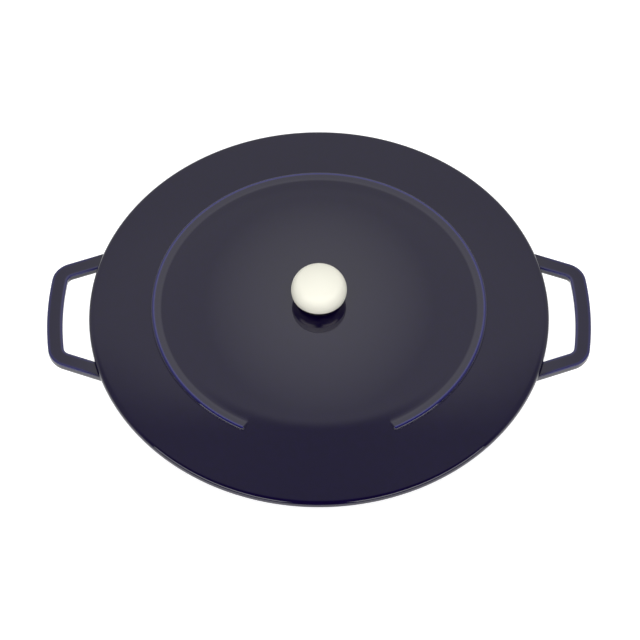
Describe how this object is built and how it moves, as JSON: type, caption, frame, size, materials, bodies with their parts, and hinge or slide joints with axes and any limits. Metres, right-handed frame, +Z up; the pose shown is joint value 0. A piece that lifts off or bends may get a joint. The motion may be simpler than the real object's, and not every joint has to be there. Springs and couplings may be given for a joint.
{
  "type": "cast iron dutch oven",
  "caption": "Shallow round enamelled cast iron oven with loop handles and a domed lid with a raised ring and a screwed-on metal knob, for braising and roasting.",
  "frame": {"origin": "centre of the pot's flat base, on the surface that it stands on", "axes": "+Z up through the knob, +X through the right-hand handle, -Y towards the open stretch of the lid's ring, which is the front"},
  "size_m": [0.3432, 0.29, 0.1237],
  "materials": {
    "enamelled_iron": "glossy dark blue enamel",
    "satin_nickel": "satin nickel plate",
    "plain_steel": "bright zinc plate"
  },
  "bodies": {
    "pot": {"pot": "enamelled_iron"},
    "lid": {"lid": "enamelled_iron", "knob": "satin_nickel", "knob_screw": "plain_steel", "spring_washer": "plain_steel", "plain_washer": "plain_steel"}
  },
  "joints": [
    {"name": "lid_lift", "type": "slide", "parent": "pot", "child": "lid", "axis": [0, 0, 1], "range_m": [0, 0.15]}
  ]
}
